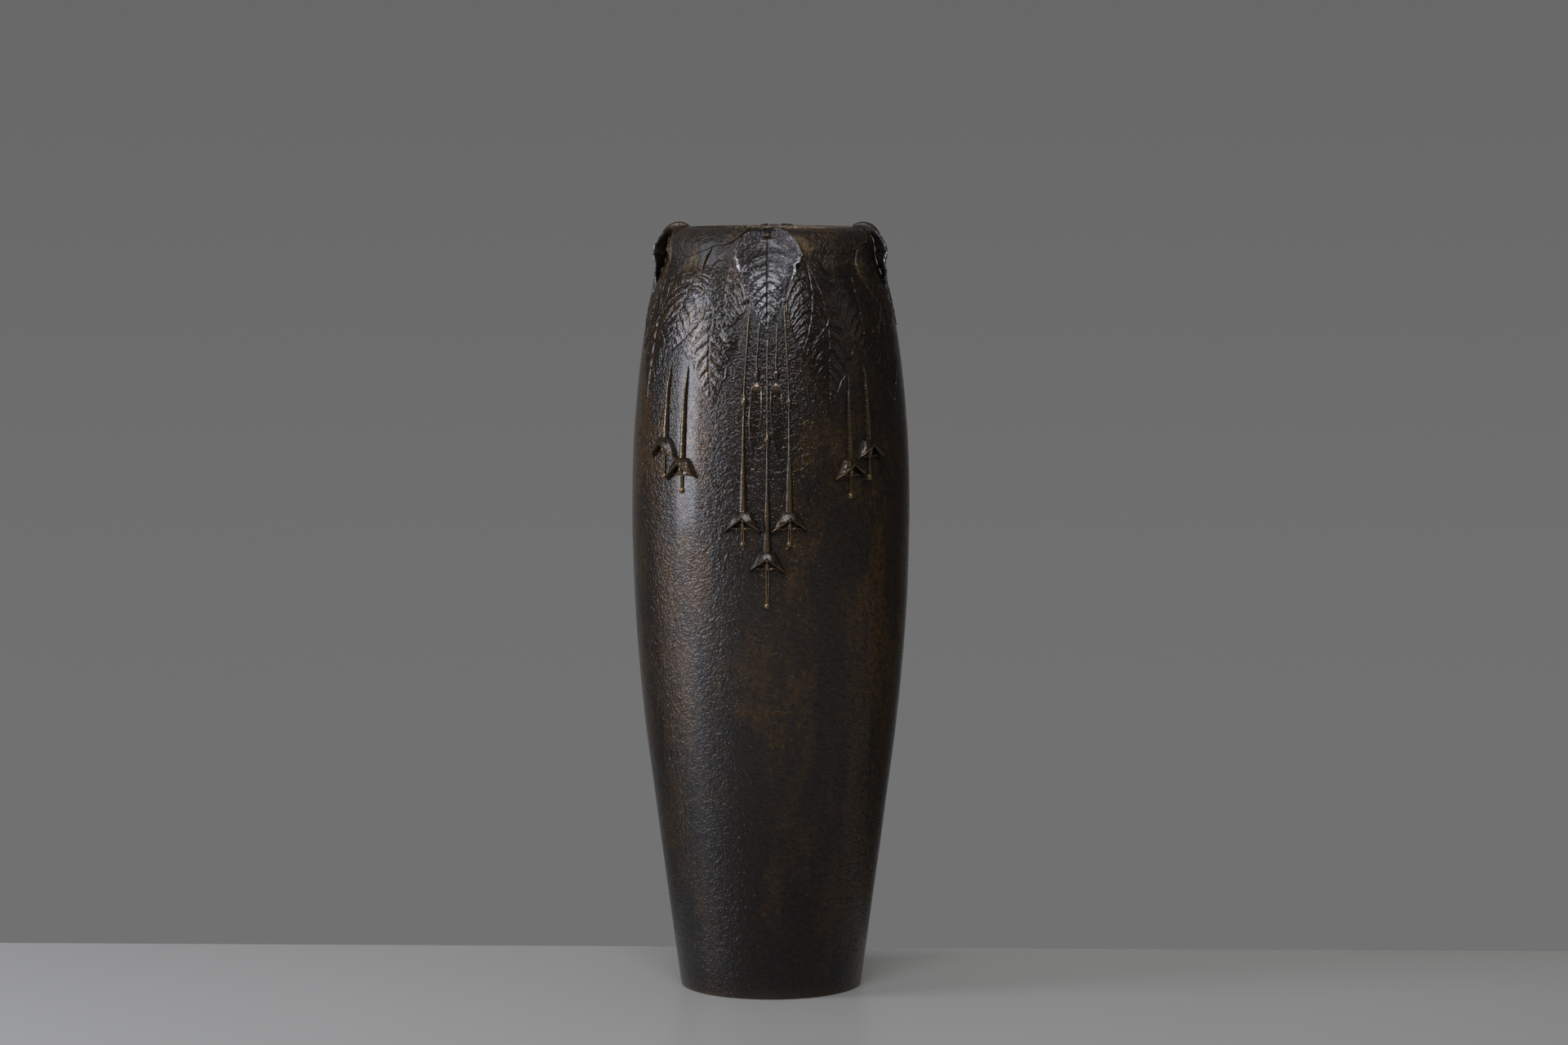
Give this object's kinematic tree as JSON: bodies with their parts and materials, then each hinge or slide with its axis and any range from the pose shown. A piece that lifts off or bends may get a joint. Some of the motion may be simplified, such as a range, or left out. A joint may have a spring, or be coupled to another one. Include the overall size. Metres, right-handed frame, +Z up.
{
  "type": "bronze vase",
  "caption": "Tall baluster bronze vase with a rolled rim, saw-edged leaves folded over it and hanging bell blossoms in relief.",
  "frame": {"origin": "middle of the foot, on the surface that the vase stands on", "axes": "+Z up along the vase's axis, -Y towards the front that the picture shows, +X to the right of it"},
  "size_m": [0.162, 0.172, 0.4488],
  "materials": {
    "wall": "cast bronze, dark chocolate patina, waxed satin",
    "leaf": "cast bronze, brown patina worn lighter on the ridges",
    "blossom": "cast bronze, brown patina rubbed to golden brown",
    "plate": "cast bronze, dull and unpolished"
  },
  "bodies": {
    "root": {"vessel_wall": "wall", "bottom_plate": "plate", "blossom_back_centre": "blossom", "blossom_back_left_inner": "blossom", "blossom_back_left_outer": "blossom", "blossom_back_outer_left": "blossom", "blossom_back_outer_right": "blossom", "blossom_back_right_inner": "blossom", "blossom_back_right_outer": "blossom", "blossom_front_centre": "blossom", "blossom_front_left_inner": "blossom", "blossom_front_left_outer": "blossom", "blossom_front_outer_left": "blossom", "blossom_front_outer_right": "blossom", "blossom_front_right_inner": "blossom", "blossom_front_right_outer": "blossom", "bud_back_left": "blossom", "bud_back_right": "blossom", "bud_front_left": "blossom", "bud_front_right": "blossom", "corner_leaf_back_left": "leaf", "corner_leaf_back_right": "leaf", "corner_leaf_front_left": "leaf", "corner_leaf_front_right": "leaf", "flank_leaf_back_left": "leaf", "flank_leaf_back_right": "leaf", "flank_leaf_front_left": "leaf", "flank_leaf_front_right": "leaf", "flank_leaf_left_left": "leaf", "flank_leaf_left_right": "leaf", "flank_leaf_right_left": "leaf", "flank_leaf_right_right": "leaf", "low_leaf_back_left": "leaf", "low_leaf_back_right": "leaf", "low_leaf_front_left": "leaf", "low_leaf_front_right": "leaf", "low_leaf_left_left": "leaf", "low_leaf_left_right": "leaf", "low_leaf_right_left": "leaf", "low_leaf_right_right": "leaf", "petiole_back": "leaf", "petiole_front": "leaf", "petiole_left": "leaf", "petiole_right": "leaf", "rim_leaf_back": "leaf", "rim_leaf_front": "leaf", "rim_leaf_left": "leaf", "rim_leaf_right": "leaf", "rim_twig_back_left": "leaf", "rim_twig_back_right": "leaf", "rim_twig_front_left": "leaf", "rim_twig_front_right": "leaf", "rim_twig_left_left": "leaf", "rim_twig_left_right": "leaf", "rim_twig_right_left": "leaf", "rim_twig_right_right": "leaf"}
  },
  "joints": []
}
